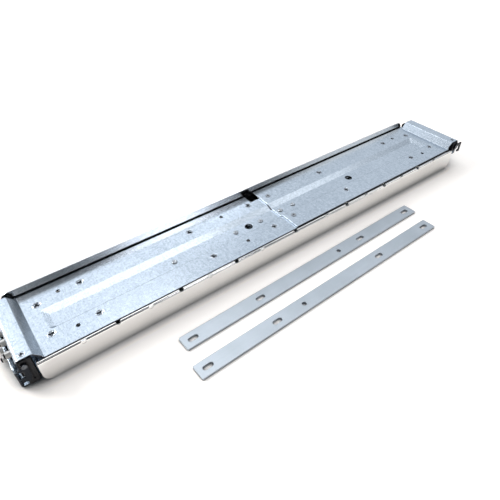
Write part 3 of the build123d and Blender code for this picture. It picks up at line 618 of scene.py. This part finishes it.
def turned_body(radii, heights):
    """A closed surface round the Z axis. Radii and heights are tables with a row for each ring and a
    column for each step round the axis. The point at angle a is (r cos a, r sin a, h), and the first
    and last rings close to a point. Returns corners and faces, with the faces outward."""
    rings = len(radii)
    angle = profile_angles()
    wide = np.broadcast_to(radii, (rings, STEPS))
    tall = np.broadcast_to(heights, (rings, STEPS))
    wall = np.stack([wide * np.cos(angle), wide * np.sin(angle), tall], axis=-1).reshape(-1, 3)
    caps = np.array([(0, 0, tall[0].mean()), (0, 0, tall[-1].mean())])
    corners = np.concatenate([wall, caps])
    step = np.arange(STEPS)
    after = (step + 1) % STEPS
    start = np.arange(rings - 1)[:, None] * STEPS
    quads = np.stack([start + step, start + STEPS + step, start + STEPS + after, start + after], axis=-1)
    last = (rings - 1) * STEPS
    top = np.stack([np.full(STEPS, rings * STEPS), step, after], axis=-1)
    bottom = np.stack([np.full(STEPS, rings * STEPS + 1), last + after, last + step], axis=-1)
    return corners, quads.reshape(-1, 4), np.concatenate([top, bottom])


def repeated(name, node, body, turns):
    """One object with a copy of a body at each place of a node. Heads look up on the upper rail and
    down on the lower one, where the body is turned half round about X, and each copy is turned about
    its own axis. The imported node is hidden, and the new piece rides where it did."""
    corners, quads, triangles = body
    places = centres(node)
    low, high = (np.array(corner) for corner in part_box(node))
    facing_up = node.startswith("upper")
    level = high[2] if facing_up else low[2]
    flip = np.array([1, 1, 1]) if facing_up else np.array([1, -1, -1])
    angle = np.array(turns[:len(places)])[:, None]
    x = corners[:, 0] * np.cos(angle) - corners[:, 1] * np.sin(angle)
    y = corners[:, 0] * np.sin(angle) + corners[:, 1] * np.cos(angle)
    z = np.broadcast_to(corners[:, 2], x.shape)
    middle = np.stack([places[:, 0], places[:, 1], np.full(len(places), level)], axis=-1)
    points = np.stack([x, y, z], axis=-1) * flip * MM + middle[:, None]
    shift = np.arange(len(places))[:, None, None] * len(corners)
    faces = []
    for block in (quads, triangles):
        faces += (block + shift).reshape(-1, block.shape[1]).tolist()
    mesh = bpy.data.meshes.new(name)
    mesh.from_pydata(points.reshape(-1, 3).tolist(), [], faces)
    mesh.polygons.foreach_set("use_smooth", np.ones(len(faces), dtype=bool))
    mesh.materials.append(FINISH_OF_SLOT[slot_of[node]])
    piece = bpy.data.objects.new(name, mesh)
    bpy.context.scene.collection.objects.link(piece)
    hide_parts(node)
    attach(piece, body_of[node])
    print(name, "places", len(places), "corners", points.shape[0] * points.shape[1])


# %% A screw with a cross recess
RIM_MM = 0.3
RIM_STEPS = 5
CROWN_RINGS = 34
# The crown starts a little off the axis, at a share of the radius, and closes to a point there.
INNER_SHARE = 0.04
RECESS_EDGE_MM = 0.3
UNDERCUT_MM = 0.1
TIP_CHAMFER_MM = 0.3


def smooth_step(value):
    """Nought below 0, one above 1, and 3v^2 - 2v^3 between."""
    value = np.clip(value, 0, 1)
    return value * value * (3 - 2 * value)


def cross_head(radius, cone, shank, length, dome, arm, reach, depth, sink):
    """A countersunk screw. The top is a dome, less a cross recess: at (u, v) the recess is as deep as
    the deeper of its two arms, each of which falls off over a soft edge at its side and its end. The
    head is sunk, so the sheet's countersink shows round it. Past the rim come the cone, the shank and
    a flat tip."""
    across = np.linspace(INNER_SHARE, 1, CROWN_RINGS)[:, None] * (radius - RIM_MM)
    angle = profile_angles()
    u, v = np.abs(across * np.cos(angle)), np.abs(across * np.sin(angle))
    arms = [smooth_step((arm - side) / RECESS_EDGE_MM + 0.5)
            * smooth_step((reach - along) / (2 * RECESS_EDGE_MM) + 0.5)
            for along, side in ((u, v), (v, u))]
    crown = dome * (1 - (across / radius) ** 2) - sink
    top = crown - depth * np.maximum(*arms)
    edge = np.linspace(0, math.pi / 2, RIM_STEPS)[1:, None]
    rim_radius = radius - RIM_MM + RIM_MM * np.sin(edge)
    rim_height = crown[-1, 0] - RIM_MM + RIM_MM * np.cos(edge)
    under = np.array([(radius - UNDERCUT_MM, -RIM_MM - sink), (shank, -cone),
                      (shank, TIP_CHAMFER_MM - length), (shank - TIP_CHAMFER_MM, -length),
                      (TIP_MM, -length)])
    around = np.ones(STEPS)
    radii = np.concatenate([across * around, rim_radius * around, under[:, :1] * around])
    heights = np.concatenate([top, rim_height * around, under[:, 1:] * around])
    return turned_body(radii, heights)


print("a screw head has", CROWN_RINGS + RIM_STEPS - 1, "rings of", STEPS, "steps")

# %% A rivet with a hollow head
HEAD_RINGS = 26
HOLLOW_SHARE = 0.02
CREST_SHARE = 0.58
HOLLOW_DEPTH = 0.75
HOLLOW_CURVE = 1.2


def tubular_rivet(radius, height, shank, length, foot_radius, foot_height):
    """A rivet with a hollow head: its height over the radius is a rolled ring, from a small hollow in
    the middle up over the ring's crest and down to the sheet, then the shank and the clenched foot."""
    share = np.linspace(HOLLOW_SHARE, 1, HEAD_RINGS)
    outward = (share - CREST_SHARE) / (1 - CREST_SHARE)
    hollow = 1 - HOLLOW_DEPTH * np.abs(1 - share / CREST_SHARE) ** HOLLOW_CURVE
    ring = np.where(share < CREST_SHARE, hollow, np.sqrt(np.clip(1 - outward ** 2, 0, 1)))
    head = np.stack([share * radius, (ring - 1) * height], axis=-1)
    below = np.array([(shank, -height), (shank, foot_height - length), (foot_radius, foot_height - length),
                      (foot_radius, -length), (TIP_MM, -length)])
    profile = np.concatenate([head, below])
    return turned_body(profile[:, :1], profile[:, 1:])


print("a rivet head has", HEAD_RINGS, "rings of", STEPS, "steps")

# %% [markdown]
# ## Every screw and rivet in its place
# The lengths are those of the imported pieces, the other sizes are listed, and the turned ones sit at
# the same places, in the same countersinks and holes.
# A driver leaves each screw at an angle of its own, so each cross is turned by chance.

# %% Make the screws and rivets
RAIL_SCREW = dict(radius=4.05, cone=1.1, shank=1.98, dome=0.4, arm=1.15, reach=2.9, depth=2.2, sink=0.1)
BLOCK_SCREW = dict(radius=2.65, cone=1.1, shank=1.48, dome=0.3, arm=0.6, reach=1.9, depth=1.2, sink=0.1)
RIVET = dict(radius=3.15, height=1.3, shank=1.58, foot_radius=2.55, foot_height=0.65)
MOST_SCREWS = 16
MOST_RIVETS = 8
QUARTER = math.pi / 2
random = np.random.default_rng(4)


def depth_of(node):
    """How far a node's pieces reach from their heads to their tips, in millimetres."""
    low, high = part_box(node)
    return (high[2] - low[2]) / MM


for rail in RAILS:
    for end in ("front", "rear"):
        node = f"{rail}_{end}_screws"
        body = cross_head(length=depth_of(node), **RAIL_SCREW)
        repeated(f"{rail}_{end}_cross_screws", node, body, random.uniform(0, QUARTER, MOST_SCREWS))
        node = f"{rail}_{end}_block_screw"
        body = cross_head(length=depth_of(node), **BLOCK_SCREW)
        repeated(f"{rail}_{end}_block_cross_screw", node, body, random.uniform(0, QUARTER, 1))
    for node in (f"{rail}_floor_rivets", f"{rail}_keeper_rivets"):
        body = tubular_rivet(length=depth_of(node), **RIVET)
        repeated(f"{node}_hollow", node, body, np.zeros(MOST_RIVETS))
